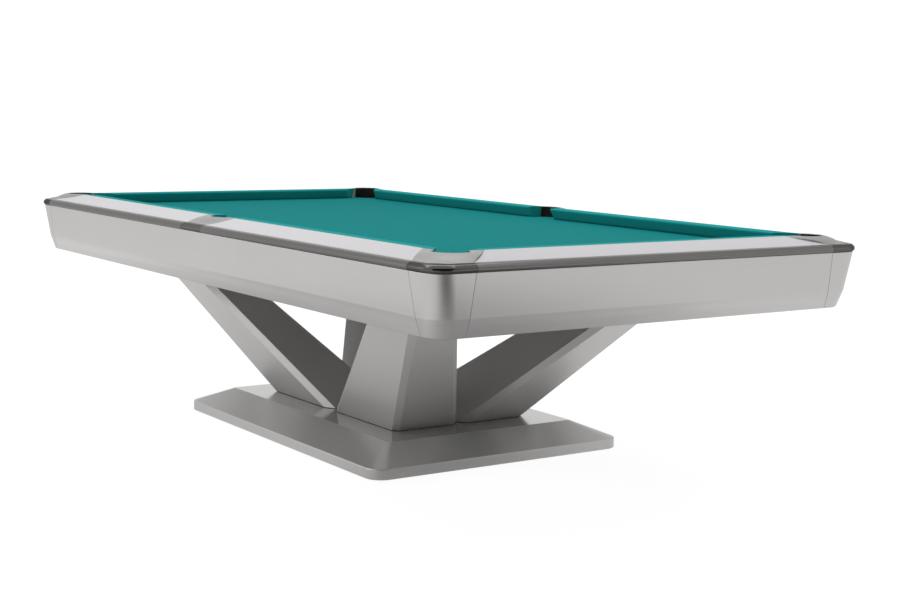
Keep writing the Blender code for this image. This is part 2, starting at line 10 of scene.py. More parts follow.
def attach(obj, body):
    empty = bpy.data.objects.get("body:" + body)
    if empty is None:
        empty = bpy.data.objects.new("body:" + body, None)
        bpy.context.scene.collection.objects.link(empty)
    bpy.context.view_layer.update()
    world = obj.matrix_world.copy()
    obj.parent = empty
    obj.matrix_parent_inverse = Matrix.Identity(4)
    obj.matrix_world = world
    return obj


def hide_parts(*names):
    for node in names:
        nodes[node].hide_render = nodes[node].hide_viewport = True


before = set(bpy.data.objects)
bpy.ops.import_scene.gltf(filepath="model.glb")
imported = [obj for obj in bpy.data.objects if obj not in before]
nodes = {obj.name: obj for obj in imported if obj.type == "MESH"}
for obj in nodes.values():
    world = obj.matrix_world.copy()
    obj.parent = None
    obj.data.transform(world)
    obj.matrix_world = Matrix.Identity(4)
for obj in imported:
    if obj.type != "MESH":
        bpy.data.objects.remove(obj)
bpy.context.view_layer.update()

# Sizes shared with the solids, in metres
STRIP_X, STRIP_Y = 1.320, 0.685
CUSHION_DEPTH = 0.050
RAIL_TOP, RAIL_DROP = 0.7895, 0.0215
BED_TOP, SLATE_TOP = 0.7492, 0.7480
OUTER_X, OUTER_Y = 1.434, 0.799
TRIM_WIDTH, TRIM_BOTTOM, TRIM_CORNER = 0.0234, 0.7447, 0.075
TRIM_TOP = RAIL_TOP - RAIL_DROP
CORNER_RUN_X, CORNER_RUN_Y = 0.125, 0.138
LEAN_X, LEAN_Y = 0.016, 0.009
LIP_HALF, GAP = 0.075, 0.0003
APRON_TOP, APRON_CREASE, APRON_BOTTOM = 0.7444, 0.6220, 0.5695
MOUTH_LONG, MOUTH_END, MOUTH_SIDE = 0.070, 0.092, 0.066
SEAM_LONG, SEAM_END = (0.104, 0.019), (0.122, 0.026)
CORNER_CENTRE = (STRIP_X - 0.007, STRIP_Y - 0.021)
CORNER_RADIUS = 0.0510
SIDE_CENTRE = STRIP_Y - 0.0075
SIDE_RADII = (0.0580, 0.0375)
SIDE_DISC, SIDE_DISC_Y = 0.097, STRIP_Y + 0.020
RAIL_BACK_X, RAIL_BACK_Y = OUTER_X - TRIM_WIDTH - GAP, OUTER_Y - TRIM_WIDTH - GAP
RAIL_BOTTOM = SLATE_TOP + GAP
PLATE_X, PLATE_Y, PLATE_RADIUS = 0.672, 0.494, 0.056
PLATE_LOW, PLATE_EDGE_TOP, PLATE_TOP = 0.012, 0.047, 0.0995
PLATEAU_X, PLATEAU_Y = 0.548, 0.367
BEAM_BOTTOM = 0.6280
LEG_FOOT = (0.002, 0.421, 0.002, 0.265)  # x_in, x_out, y_in, y_out of the right back leg
LEG_TOP = (0.734, 0.979, 0.390, 0.545)
LEG_REVEAL = 0.0009
FOOT_X, FOOT_Y = 0.570, 0.405
THREAD_PITCH, THREAD_ROOT, THREAD_CREST = 0.0015, 0.0070, 0.0080
THREAD_LOW, THREAD_HIGH = 0.0120, 0.0556
CUP_FLOOR, CUP_WALL = 0.615, 0.003
CLOTH = 0.0009
NOSE_HEIGHT = 0.0363            # cushion nose above the cloth
CORNER_MITRE, SIDE_MITRE, BACK_DRAFT = math.radians(38), math.radians(14), math.radians(12)
BOLT_X, BOLT_Y = 1.375, 0.738

QUADRANTS = {"front_left": (-1, -1), "front_right": (1, -1), "back_left": (-1, 1), "back_right": (1, 1)}


EVEN = (1.0, 1.0, 1.0)


# ---------------------------------------------------------------- materials

class Shader:
    """A Principled material put together one node at a time."""

    def __init__(self, name, colour, roughness, metallic=0.0, **sockets):
        self.material = bpy.data.materials.new(name)
        self.material.use_nodes = True
        self.nodes = self.material.node_tree.nodes
        self.links = self.material.node_tree.links
        self.main = self.nodes["Principled BSDF"]
        self.colour, self.roughness = colour, roughness
        self.main.inputs["Base Color"].default_value = (*colour, 1.0)
        self.main.inputs["Roughness"].default_value = roughness
        self.main.inputs["Metallic"].default_value = metallic
        for socket, value in sockets.items():
            self.main.inputs[socket.replace("_", " ")].default_value = value
        self.height = None

    def add(self, kind, **settings):
        made = self.nodes.new(kind)
        for key, value in settings.items():
            setattr(made, key, value)
        return made

    def coordinates(self, scale):
        source = self.add("ShaderNodeTexCoord")
        mapping = self.add("ShaderNodeMapping")
        mapping.inputs["Scale"].default_value = scale
        self.links.new(source.outputs["Object"], mapping.inputs["Vector"])
        return mapping.outputs["Vector"]

    def noise(self, scale, stretch=EVEN, detail=4.0, rough=0.6):
        made = self.add("ShaderNodeTexNoise")
        made.inputs["Scale"].default_value = scale
        made.inputs["Detail"].default_value = detail
        made.inputs["Roughness"].default_value = rough
        self.links.new(self.coordinates(stretch), made.inputs["Vector"])
        return made.outputs["Fac"]

    def wave(self, scale, direction, distortion):
        made = self.add("ShaderNodeTexWave", bands_direction=direction)
        made.inputs["Scale"].default_value = scale
        made.inputs["Distortion"].default_value = distortion
        made.inputs["Detail"].default_value = 1.0
        self.links.new(self.coordinates(EVEN), made.inputs["Vector"])
        return made.outputs["Fac"]

    def maths(self, operation, first, second):
        made = self.add("ShaderNodeMath", operation=operation)
        for socket, value in zip(made.inputs, (first, second)):
            if isinstance(value, (int, float)):
                socket.default_value = value
            else:
                self.links.new(value, socket)
        return made.outputs["Value"]

    def share(self, first, second, part):
        """Sum of two values, the first with weight part and the second with the rest."""
        rest = round(1.0 - part, 3)
        return self.maths("ADD", self.maths("MULTIPLY", first, part), self.maths("MULTIPLY", second, rest))

    def remap(self, value, low, high, from_low=0.3, from_high=0.7):
        made = self.add("ShaderNodeMapRange")
        made.inputs["From Min"].default_value = from_low
        made.inputs["From Max"].default_value = from_high
        made.inputs["To Min"].default_value = low
        made.inputs["To Max"].default_value = high
        self.links.new(value, made.inputs["Value"])
        return made.outputs["Result"]

    def tint(self, value, darker, lighter):
        """Colour between two multiples of the base colour, driven by a value."""
        made = self.add("ShaderNodeMix", data_type="RGBA")
        self.links.new(value, made.inputs["Factor"])
        made.inputs["A"].default_value = (*[part * darker for part in self.colour], 1.0)
        made.inputs["B"].default_value = (*[min(1.0, part * lighter) for part in self.colour], 1.0)
        self.links.new(made.outputs["Result"], self.main.inputs["Base Color"])

    def shine(self, value, spread):
        """Roughness that wanders either side of its base value."""
        result = self.remap(value, self.roughness - spread, self.roughness + spread)
        self.links.new(result, self.main.inputs["Roughness"])

    def bump(self, value, strength, distance):
        made = self.add("ShaderNodeBump")
        made.inputs["Strength"].default_value = strength
        made.inputs["Distance"].default_value = distance
        self.links.new(value, made.inputs["Height"])
        if self.height is not None:
            self.links.new(self.height, made.inputs["Normal"])
        self.height = made.outputs["Normal"]
        self.links.new(self.height, self.main.inputs["Normal"])


def brushed(name, colour, roughness, stretch, anisotropy=0.0, tangent=None, grain=0.05, wear=0.04, rim=1.0):
    """Metal with hair-fine grain along the axes that stretch leaves small; rim dims its glancing gloss."""
    made = Shader(name, colour, roughness, 1.0, Anisotropic=anisotropy)
    made.main.inputs["Specular Tint"].default_value = (rim, rim, rim, 1.0)
    fine = made.noise(1.0, stretch, 6.0, 0.72)
    broad = made.noise(2.2, EVEN, 3.0, 0.5)
    both = made.share(fine, broad, 0.7)
    made.tint(made.remap(both, 0.0, 1.0, 0.35, 0.65), 1.0 - grain, 1.0 + grain)
    made.shine(both, wear)
    made.bump(fine, 0.12, 0.0002)
    if tangent is not None:
        direction = made.add("ShaderNodeTangent", direction_type="RADIAL", axis=tangent)
        made.links.new(direction.outputs["Tangent"], made.main.inputs["Tangent"])
    return made.material


def satin(name, colour, roughness, metallic, stretch=(60.0, 60.0, 60.0), grain=0.03, wear=0.03, lift=0.05):
    """Metal-effect facing or paint with a faint directional grain."""
    made = Shader(name, colour, roughness, metallic)
    fine = made.noise(1.0, stretch, 5.0, 0.65)
    broad = made.noise(1.7, EVEN, 2.0, 0.5)
    both = made.share(fine, broad, 0.6)
    made.tint(made.remap(both, 0.0, 1.0, 0.35, 0.65), 1.0 - grain, 1.0 + grain)
    made.shine(both, wear)
    made.bump(fine, lift, 0.0002)
    return made.material


def cloth(name, colour, lift):
    """Worsted billiard cloth: a tight plain weave under a very short nap."""
    made = Shader(name, colour, 0.93)
    made.main.inputs["Specular IOR Level"].default_value = 0.04
    warp = made.wave(420.0, "X", 0.6)
    weft = made.wave(420.0, "Y", 0.6)
    weave = made.maths("MULTIPLY", warp, weft)
    nap = made.noise(900.0, (1.0, 0.55, 1.0), 2.0, 0.7)
    broad = made.noise(3.5, EVEN, 3.0, 0.55)
    fibres = made.share(weave, nap, 0.35)
    blend = made.share(fibres, broad, 0.7)
    made.tint(made.remap(blend, 0.0, 1.0, 0.25, 0.7), 0.95, 1.05)
    made.shine(broad, 0.04)
    made.bump(weave, lift, 0.0003)
    made.bump(nap, lift, 0.0002)
    return made.material


def make_slate(name):
    made = Shader(name, (0.220, 0.225, 0.232), 0.62)
    veins = made.noise(3.0, (1.0, 3.0, 6.0), 8.0, 0.7)
    grit = made.noise(380.0, EVEN, 2.0, 0.6)
    both = made.share(veins, grit, 0.7)
    made.tint(made.remap(both, 0.0, 1.0, 0.35, 0.65), 0.7, 1.35)
    made.shine(both, 0.1)
    made.bump(both, 0.3, 0.0006)
    return made.material


def make_rubber(name):
    made = Shader(name, (0.003, 0.0035, 0.0035), 0.60)
    made.main.inputs["Specular IOR Level"].default_value = 0.08
    pebble = made.noise(700.0, EVEN, 2.0, 0.5)
    broad = made.noise(9.0, EVEN, 3.0, 0.5)
    made.tint(made.remap(broad, 0.0, 1.0), 0.7, 1.5)
    made.shine(broad, 0.08)
    made.bump(pebble, 0.25, 0.0003)
    return made.material


def make_laminate(name, colour):
    made = Shader(name, colour, 0.34, 0.0, Coat_Weight=0.06, Coat_Roughness=0.15)
    made.main.inputs["Specular IOR Level"].default_value = 0.25
    speck = made.noise(1500.0, EVEN, 2.0, 0.5)
    broad = made.noise(4.0, EVEN, 4.0, 0.6)
    made.tint(made.remap(broad, 0.0, 1.0), 0.975, 1.02)
    made.shine(broad, 0.04)
    made.bump(speck, 0.05, 0.0001)
    return made.material


def make_steel(name, colour, roughness):
    made = Shader(name, colour, roughness, 1.0)
    turned = made.noise(1.0, (25.0, 25.0, 1400.0), 4.0, 0.6)
    spots = made.noise(60.0, EVEN, 5.0, 0.65)
    both = made.share(turned, spots, 0.5)
    made.tint(made.remap(both, 0.0, 1.0, 0.35, 0.65), 0.82, 1.08)
    made.shine(both, 0.08)
    made.bump(turned, 0.15, 0.0002)
    return made.material


def make_seam(name):
    # A near-black colour that paints the shadow inside a joint, mottled at random.
    made = Shader(name, (0.02, 0.02, 0.02), 0.8)
    shadow_mottle = made.noise(200.0)
    made.tint(made.remap(shadow_mottle, 0.0, 1.0), 0.6, 1.6)
    return made.material


APRON = brushed("brushed_apron", (0.46, 0.451, 0.447), 0.30, (2.0, 2.0, 1500.0), 0.65, "Z", 0.05, 0.03)
TRIM = brushed("pewter_trim", (0.145, 0.141, 0.137), 0.25, (3.0, 3.0, 1500.0), 0.4, "Z", 0.06, 0.03, 0.75)
# Polished pewter of the corner bends, partly its own finish and partly coloured darker than the straight trim
# to paint the dark reflection at the corners.
CORNER_TRIM_DARKENED = brushed(
    "polished_pewter_painted_dark", (0.100, 0.096, 0.092), 0.12, (25.0, 25.0, 500.0), 0.0, None, 0.05, 0.03, 0.45)
CASTING = satin("brushed_casting", (0.265, 0.263, 0.26), 0.50, 0.40, (220.0, 1400.0, 220.0), 0.05, 0.03, 0.03)
CASTING_LIP = brushed(
    "casting_lip", (0.155, 0.151, 0.147), 0.30, (3.0, 3.0, 1500.0), 0.0, None, 0.06, 0.04, 0.45)
LEG = satin("leg_facing", (0.485, 0.472, 0.461), 0.36, 0.48, (700.0, 700.0, 4.0), 0.035, 0.03)
PLATEAU = satin("plateau_facing", (0.50, 0.494, 0.489), 0.17, 0.60, (30.0, 500.0, 60.0), 0.03, 0.03, 0.03)
PLATE = satin("plate_facing", (0.46, 0.452, 0.447), 0.34, 0.50, (30.0, 500.0, 60.0), 0.03, 0.03, 0.03)
LAMINATE = make_laminate("white_laminate", (0.43, 0.42, 0.435))
BED_CLOTH = cloth("bed_cloth_weave", (0.003, 0.164, 0.164), 0.2)
# The cushions wear the bed's cloth, coloured lighter to paint light onto their shaded faces.
CUSHION_CLOTH_LIGHTENED = cloth("cushion_cloth_weave_painted_lighter", (0.010, 0.240, 0.238), 0.18)
# Partly slate's own grey, coloured lighter than slate usually is to paint light into the shade under the table.
SLATE = make_slate("slate_stone_lightened")
RUBBER = make_rubber("liner_rubber")
# The frame's grey paint, partly coloured lighter to paint light into the shade under the table.
FRAME_PAINT = satin("frame_paint", (0.28, 0.275, 0.27), 0.5, 0.0, (90.0, 90.0, 90.0), 0.1, 0.08, 0.2)
ZINC = make_steel("zinc_steel", (0.55, 0.55, 0.56), 0.34)
SEAM = make_seam("seam_shadow")


# ---------------------------------------------------------------- mesh building

def new_piece(name, work, look, sharp=35.0):
    """Makes a smooth-shaded object of a bmesh."""
    bmesh.ops.recalc_face_normals(work, faces=work.faces)
    mesh = bpy.data.meshes.new(name)
    work.to_mesh(mesh)
    work.free()
    mesh.materials.append(look)
    mesh.shade_smooth()
    mesh.set_sharp_from_angle(angle=math.radians(sharp))
    made = bpy.data.objects.new(name, mesh)
    bpy.context.scene.collection.objects.link(made)
    return made


def soften(piece, width, segments=3, angle=35.0):
    """Rounds the sharp edges and writes the result into the mesh."""
    bevel = piece.modifiers.new("bevel", "BEVEL")
    bevel.width = width
    bevel.segments = segments
    bevel.limit_method = "ANGLE"
    bevel.angle_limit = math.radians(angle)
    bevel.use_clamp_overlap = True
    bevel.harden_normals = True
    settle(piece)


def settle(piece):
    """Applies a piece's modifiers."""
    evaluated = piece.evaluated_get(bpy.context.evaluated_depsgraph_get())
    mesh = bpy.data.meshes.new_from_object(evaluated)
    mesh.name = piece.name
    piece.modifiers.clear()
    piece.data = mesh


def stand_for(piece, node, body="table"):
    """Rides on a body in place of a CAD node."""
    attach(piece, body)
    if node is not None:
        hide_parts(node)


def skin(work, rings):
    """Adds quads through rings of equal count, capped at both ends."""
    made = [[work.verts.new(point) for point in ring] for ring in rings]
    count = len(rings[0])
    for low, high in zip(made, made[1:]):
        for index in range(count):
            after = (index + 1) % count
            work.faces.new((low[index], low[after], high[after], high[index]))
    work.faces.new(list(reversed(made[0])))
    work.faces.new(made[-1])


def loft(name, rings, look, sharp=35.0):
    """A piece of its own from such rings."""
    work = bmesh.new()
    skin(work, rings)
    return new_piece(name, work, look, sharp)


def arc(centre, radius, start, end, steps=8):
    """Points on an arc or, with a pair of radii, an ellipse; angles in degrees."""
    across, along = radius if isinstance(radius, tuple) else (radius, radius)
    turns = [math.radians(start + (end - start) * step / steps) for step in range(steps + 1)]
    return [(centre[0] + across * math.cos(turn), centre[1] + along * math.sin(turn)) for turn in turns]


def fillet(points, radii, steps=6, closed=True):
    """Rounds the corners of a polyline; a zero radius leaves its corner alone."""
    rounded = []
    count = len(points)
    for index, (point, radius) in enumerate(zip(points, radii)):
        here = Vector(point)
        if radius <= 0 or (not closed and index in (0, count - 1)):
            rounded.append(tuple(here))
            continue
        back = (Vector(points[index - 1]) - here).normalized()
        ahead = (Vector(points[(index + 1) % count]) - here).normalized()
        half = math.acos(max(-1.0, min(1.0, back.dot(ahead)))) / 2
        reach = radius / math.tan(half)
        middle = here + (back + ahead).normalized() * radius / math.sin(half)
        start, end = here + back * reach - middle, here + ahead * reach - middle
        sweep = math.atan2(start.x * end.y - start.y * end.x, start.dot(end))
        for step in range(steps + 1):
            turn = Matrix.Rotation(sweep * step / steps, 2)
            rounded.append(tuple(middle + turn @ start))
    return rounded


def offset(points, distance):
    """Moves an open polyline sideways, to its left for a positive distance."""
    moved = []
    for index, point in enumerate(points):
        here = Vector(point)
        before = (here - Vector(points[index - 1])).normalized() if index else None
        after = (Vector(points[index + 1]) - here).normalized() if index + 1 < len(points) else None
        first = before if before is not None else after
        second = after if after is not None else before
        left = Vector((-first.y - second.y, first.x + second.x)).normalized()
        lean = left.dot(Vector((-first.y, first.x)))
        moved.append(tuple(here + left * distance / max(lean, 0.3)))
    return moved


def bowed(start, end, bulge, steps=10):
    """Points on the shallow arc from start to end; a positive bulge leans left of the way."""
    start, end = Vector(start), Vector(end)
    chord = end - start
    left = Vector((-chord.y, chord.x)).normalized()
    radius = (chord.length / 2) ** 2 / (2 * abs(bulge)) + abs(bulge) / 2
    side = math.copysign(1.0, bulge)
    centre = (start + end) / 2 - left * side * (radius - abs(bulge))
    half = math.asin(chord.length / 2 / radius)
    points = []
    for step in range(steps + 1):
        turn = half - 2 * half * step / steps
        way = left * side * math.cos(turn) - chord.normalized() * math.sin(turn)
        points.append(tuple(centre + way * radius))
    return points


def spaced(path, count):
    """The same polyline as evenly spaced points."""
    path = [Vector(point) for point in path]
    lengths = [0.0]
    for first, second in zip(path, path[1:]):
        lengths.append(lengths[-1] + (second - first).length)
    result, place = [], 0
    for step in range(count):
        goal = lengths[-1] * step / (count - 1)
        while place < len(path) - 2 and lengths[place + 1] < goal:
            place += 1
        span = lengths[place + 1] - lengths[place]
        share = (goal - lengths[place]) / span if span > 0 else 0.0
        result.append(tuple(path[place].lerp(path[place + 1], min(1.0, share))))
    return result


def signed(points, sign_x, sign_y):
    """Mirrors plan points into another quadrant."""
    return [(x * sign_x, y * sign_y, *rest) for x, y, *rest in points]


def fall(x, y):
    """Height of the rails' and castings' sloping top, blended over the corner's diagonal."""
    out_x, out_y = max(abs(x) - STRIP_X, 0.0), max(abs(y) - STRIP_Y, 0.0)
    reach = (out_x ** 5 + out_y ** 5) ** 0.2
    return RAIL_TOP - RAIL_DROP * min(reach / (RAIL_BACK_Y - STRIP_Y), 1.02)


# ---------------------------------------------------------------- aprons

# Outer line of the folded sheet as (inset, height, plan radius at the corner, bend radius)
APRON_OUTER = (
    (0.0300, APRON_TOP, 0.049, 0.0), (0.0050, APRON_TOP, 0.070, 0.0025), (0.0225, APRON_CREASE, 0.0675, 0.0100),
    (0.0375, APRON_BOTTOM, 0.065, 0.0040), (0.0495, APRON_BOTTOM, 0.059, 0.0))
SHEET = 0.0028


def apron_profile():
    """Closed section of the sheet as (inset, height)."""
    points = [(inset, height) for inset, height, radius, bend in APRON_OUTER]
    outer = fillet(points, [bend for inset, height, radius, bend in APRON_OUTER], 6, closed=False)
    inner = offset(outer, SHEET)
    if inner[len(inner) // 2][0] < outer[len(outer) // 2][0]:
        inner = offset(outer, -SHEET)
    return outer + inner[::-1]


def plan_radius(inset, height):
    """Corner radius of the apron's plan at one height."""
    share = max(0.0, min(1.0, lean(height)))
    outer_inset = 0.005 + 0.0175 * min(1.0, (APRON_TOP - height) / (APRON_TOP - APRON_CREASE))
    outer_inset += 0.015 * max(0.0, (APRON_CREASE - height) / (APRON_CREASE - APRON_BOTTOM))
    return max(0.006, 0.070 - 0.005 * share - (inset - outer_inset))


def lean(height):
    """Share of the apron's height, from its top edge down; the corner seams lean in step with it."""
    return (APRON_TOP - height) / (APRON_TOP - APRON_BOTTOM)


def make_aprons():
    """Four straight folded sheets and four bent ones, meeting at leaning seams."""
    section = apron_profile()
    slack = 0.0006
    reach = OUTER_X - CORNER_RUN_X - slack
    for side, sign in (("front", -1), ("back", 1)):
        rings = []
        for share in (-1.0, -0.5, 0.0, 0.5, 1.0):
            rings.append([(share * (reach + LEAN_X * lean(z)), sign * (OUTER_Y - d), z) for d, z in section])
        piece = loft("apron_sheet_" + side, rings, APRON)
        soften(piece, 0.0005, 2, 50)
        stand_for(piece, "apron_" + side)
    reach = OUTER_Y - CORNER_RUN_Y - slack
    for end, sign in (("left", -1), ("right", 1)):
        rings = []
        for share in (-1.0, -0.5, 0.0, 0.5, 1.0):
            rings.append([(sign * (OUTER_X - d), share * (reach + LEAN_Y * lean(z)), z) for d, z in section])
        piece = loft("apron_sheet_end_" + end, rings, APRON)
        soften(piece, 0.0005, 2, 50)
        stand_for(piece, "apron_end_" + end)
    for corner, (sign_x, sign_y) in QUADRANTS.items():
        piece = loft("corner_sheet_" + corner, corner_rings(section, slack, sign_x, sign_y), APRON)
        soften(piece, 0.0005, 2, 50)
        stand_for(piece, "corner_apron_" + corner)


def corner_rings(section, slack, sign_x, sign_y):
    """The apron's section carried round one corner."""
    rings = []
    turns = 20
    for station in range(turns + 3):
        ring = []
        for inset, height in section:
            radius = plan_radius(inset, height)
            centre_x, centre_y = OUTER_X - inset - radius, OUTER_Y - inset - radius
            if station == 0:
                x, y = OUTER_X - CORNER_RUN_X + slack + LEAN_X * lean(height), OUTER_Y - inset
            elif station == turns + 2:
                x, y = OUTER_X - inset, OUTER_Y - CORNER_RUN_Y + slack + LEAN_Y * lean(height)
            else:
                turn = math.radians(90.0 - 90.0 * (station - 1) / turns)
                x, y = centre_x + radius * math.cos(turn), centre_y + radius * math.sin(turn)
            ring.append((x, y, height))
        rings.append(signed(ring, sign_x, sign_y))
    return rings


# ---------------------------------------------------------------- edge trim

def trim_section(outer):
    """Rounded edge section as (distance from the centre, height)."""
    inner = outer - TRIM_WIDTH
    top = TRIM_TOP - 0.0004
    points = [
        (inner, TRIM_BOTTOM), (inner, top), (outer - 0.0085, top - 0.0012), (outer, top - 0.0105),
        (outer, TRIM_BOTTOM + 0.005), (outer - 0.004, TRIM_BOTTOM)]
    return fillet(points, (0.0005, 0.0012, 0.010, 0.007, 0.004, 0.0015), 7)


def make_trims():
    """Rounded metal edge in straight and bent lengths."""
    slack = 0.0005
    run_x, run_y = OUTER_X - CORNER_RUN_X, OUTER_Y - CORNER_RUN_Y
    for corner, (sign_x, sign_y) in QUADRANTS.items():
        section = trim_section(OUTER_Y)
        rings = []
        for share in (0.0, 0.34, 0.67, 1.0):
            x = LIP_HALF + slack + (run_x - slack - LIP_HALF - slack) * share
            rings.append(signed([(x, y, z) for y, z in section], sign_x, sign_y))
        piece = loft("edge_trim_" + corner, rings, TRIM)
        soften(piece, 0.0004, 2, 50)
        stand_for(piece, "trim_" + corner)
        bend_trim(corner, sign_x, sign_y, run_x + slack, run_y + slack)
    for end, sign in (("left", -1), ("right", 1)):
        section = trim_section(OUTER_X)
        rings = []
        for share in (-1.0, -0.33, 0.33, 1.0):
            rings.append([(sign * x, share * (run_y - slack), z) for x, z in section])
        piece = loft("edge_trim_end_" + end, rings, TRIM)
        soften(piece, 0.0004, 2, 50)
        stand_for(piece, "trim_end_" + end)


def bend_trim(corner, sign_x, sign_y, run_x, run_y):
    """One rounded corner of the edge trim."""
    centre_x, centre_y = OUTER_X - TRIM_CORNER, OUTER_Y - TRIM_CORNER
    turns = 20
    stations = [(run_x, centre_y, 90.0)]
    stations += [(centre_x, centre_y, 90.0 - 90.0 * step / turns) for step in range(turns + 1)]
    stations.append((centre_x, run_y, 0.0))
    rings = []
    for x, y, heading in stations:
        turn = math.radians(heading)
        ring = [(x + d * math.cos(turn), y + d * math.sin(turn), z) for d, z in trim_section(TRIM_CORNER)]
        rings.append(signed(ring, sign_x, sign_y))
    piece = loft("edge_corner_" + corner, rings, CORNER_TRIM_DARKENED)
    soften(piece, 0.0004, 2, 50)
    stand_for(piece, "corner_trim_" + corner)


# ---------------------------------------------------------------- rails and castings

def corner_seam(clearance, ends=SEAM_LONG):
    """The casting's seam across the long rail, from the feather strip outwards."""
    inner = (STRIP_X - ends[0] - clearance, STRIP_Y + GAP)
    outer = (STRIP_X - ends[1] - clearance, RAIL_BACK_Y)
    return bowed(inner, outer, 0.004, 12)


def corner_seam_end(clearance):
    """The casting's seam across the end rail, mirrored over the corner's diagonal."""
    seam = corner_seam(clearance, SEAM_END)
    return [(STRIP_X + (y - STRIP_Y), STRIP_Y + (x - STRIP_X)) for x, y in seam]


def side_seam(clearance):
    """The side casting's round seam, from the outer edge to the feather strip, at +X."""
    radius = SIDE_DISC + clearance
    start = math.degrees(math.asin((RAIL_BACK_Y - SIDE_DISC_Y) / radius))
    end = math.degrees(math.asin((STRIP_Y + GAP - SIDE_DISC_Y) / radius))
    return arc((0.0, SIDE_DISC_Y), radius, start, end, 14)


def sloped_slab(name, outline, look, width):
    """A plan outline raised to the rails' sloping top, with softened edges."""
    low = [(x, y, RAIL_BOTTOM) for x, y in outline]
    high = [(x, y, fall(x, y)) for x, y in outline]
    piece = loft(name, [low, high], look)
    soften(piece, width, 3, 50)
    return piece


def make_rails():
    """Six white rail tops between the castings."""
    slack = 0.0006
    long_rail = side_seam(slack)[::-1] + corner_seam(slack)[::-1]
    for corner, (sign_x, sign_y) in QUADRANTS.items():
        piece = sloped_slab("rail_top_" + corner, signed(long_rail, sign_x, sign_y), LAMINATE, 0.0007)
        stand_for(piece, "rail_" + corner)
    half = corner_seam_end(slack)
    end_rail = half + signed(half, 1, -1)[::-1]
    for end, sign in (("left", -1), ("right", 1)):
        piece = sloped_slab("rail_top_end_" + end, signed(end_rail, sign, 1), LAMINATE, 0.0007)
        stand_for(piece, "rail_end_" + end)


def rimmed_rings(inner, outer, lip):
    """Sections from the hole's rolled rim, at full height, down to an outer plan line."""
    rings = []
    slope_run = 0.040
    roll_steps, slope_steps = 5, 12
    for (in_x, in_y), (out_x, out_y) in zip(inner, outer):
        start, end = Vector((in_x, in_y)), Vector((out_x, out_y))
        width = (end - start).length
        roll = min(lip, width * 0.3)
        ring = [(*start, RAIL_BOTTOM)]
        for step in range(roll_steps + 1):
            turn = math.radians(90.0 * step / roll_steps)
            place = start.lerp(end, roll * (1 - math.cos(turn)) / width)
            ring.append((*place, RAIL_TOP - roll * (1 - math.sin(turn))))
        for step in range(1, slope_steps + 1):
            place = start.lerp(end, roll / width + (1 - roll / width) * step / slope_steps)
            away = min(min((place - Vector(point)).length for point in inner) - roll, slope_run)
            share = max(away, 0.0) / slope_run
            shy = 0.0001 if step == slope_steps else 0.0
            ring.append((*place, RAIL_TOP - (RAIL_TOP - fall(*place)) * share - shy))
        ring.append((*end, RAIL_BOTTOM))
        rings.append(ring)
    return rings


def make_corner_castings():
    """Metal corners that run from the pocket's rim out to the edge trim."""
    radius = CORNER_RADIUS + 0.0007
    start = math.degrees(math.asin((STRIP_Y + GAP - CORNER_CENTRE[1]) / radius))
    end = math.degrees(math.acos((STRIP_X + GAP - CORNER_CENTRE[0]) / radius))
    hole = arc(CORNER_CENTRE, radius, 180 - start, -end, 64)
    bend = TRIM_CORNER - TRIM_WIDTH
    outer = corner_seam(0.0) + arc((RAIL_BACK_X - bend, RAIL_BACK_Y - bend), bend, 90, 0, 16)
    count = 97
    hole = spaced(hole, count)
    outer = spaced(outer + corner_seam_end(0.0)[::-1], count)
    for name, (sign_x, sign_y) in QUADRANTS.items():
        rings = [signed(ring, sign_x, sign_y) for ring in rimmed_rings(hole, outer, 0.0030)]
        piece = loft("corner_iron_" + name, rings, CASTING)
        soften(piece, 0.0005, 2, 60)
        stand_for(piece, "corner_casting_" + name)


def make_side_castings():
    """Metal pieces round the side pockets, each with a lip that runs through the edge trim."""
    radii = (SIDE_RADII[0] + 0.0007, SIDE_RADII[1] + 0.0007)
    start = math.degrees(math.asin((STRIP_Y + GAP - SIDE_CENTRE) / radii[1]))
    count = 81
    hole = spaced(arc((0.0, SIDE_CENTRE), radii, 180 - start, start, 48), count)
    seam = side_seam(0.0)
    outer = spaced(signed(seam[::-1], -1, 1) + seam, count)
    for side, sign in (("front", -1), ("back", 1)):
        rings = [signed(ring, 1, sign) for ring in rimmed_rings(hole, outer, 0.0028)]
        piece = loft("side_iron_" + side, rings, CASTING)
        soften(piece, 0.0005, 2, 60)
        section = trim_section(OUTER_Y)
        lip_rings = [[(x, sign * y, z) for y, z in section] for x in (-LIP_HALF, -0.025, 0.025, LIP_HALF)]
        lip = loft("side_iron_lip_" + side, lip_rings, CASTING_LIP)
        soften(lip, 0.0006, 2, 50)
        stand_for(piece, "side_casting_" + side)
        stand_for(lip, None)


def make_seam_lines():
    """Thin dark strips that sit low in the joints between the rails and the corner castings, painting the
    shadow in the gaps.
    """
    for corner, (sign_x, sign_y) in QUADRANTS.items():
        for label, path in (("long", corner_seam(0.0003)), ("end", corner_seam_end(0.0003))):
            rings = []
            for x, y in path:
                low, high = RAIL_BOTTOM + 0.002, fall(x, y) - 0.0012
                section = ((-0.0002, low), (0.0002, low), (0.0002, high), (-0.0002, high))
                rings.append(signed([(x + shift, y, z) for shift, z in section], sign_x, sign_y))
            stand_for(loft("seam_" + label + "_" + corner, rings, SEAM), None)


# ---------------------------------------------------------------- cushions and cloth

def cushion_section(strip):
    """Rounded K-shaped section as (distance from the centre, height)."""
    nose = strip - CUSHION_DEPTH
    height = BED_TOP + NOSE_HEIGHT
    points = [
        (strip - GAP, RAIL_TOP - 0.0003), (strip - 0.006, RAIL_TOP - 0.0001),
        (strip - 0.030, RAIL_TOP - 0.0008), (nose + 0.0010, height + 0.0026),
        (nose - 0.0002, height - 0.0022), (nose + 0.0160, BED_TOP + 0.0010),
        (strip - GAP, BED_TOP + 0.0008)]
    return fillet(points, (0.0008, 0.02, 0.02, 0.0022, 0.0018, 0.006, 0.0006), 5)


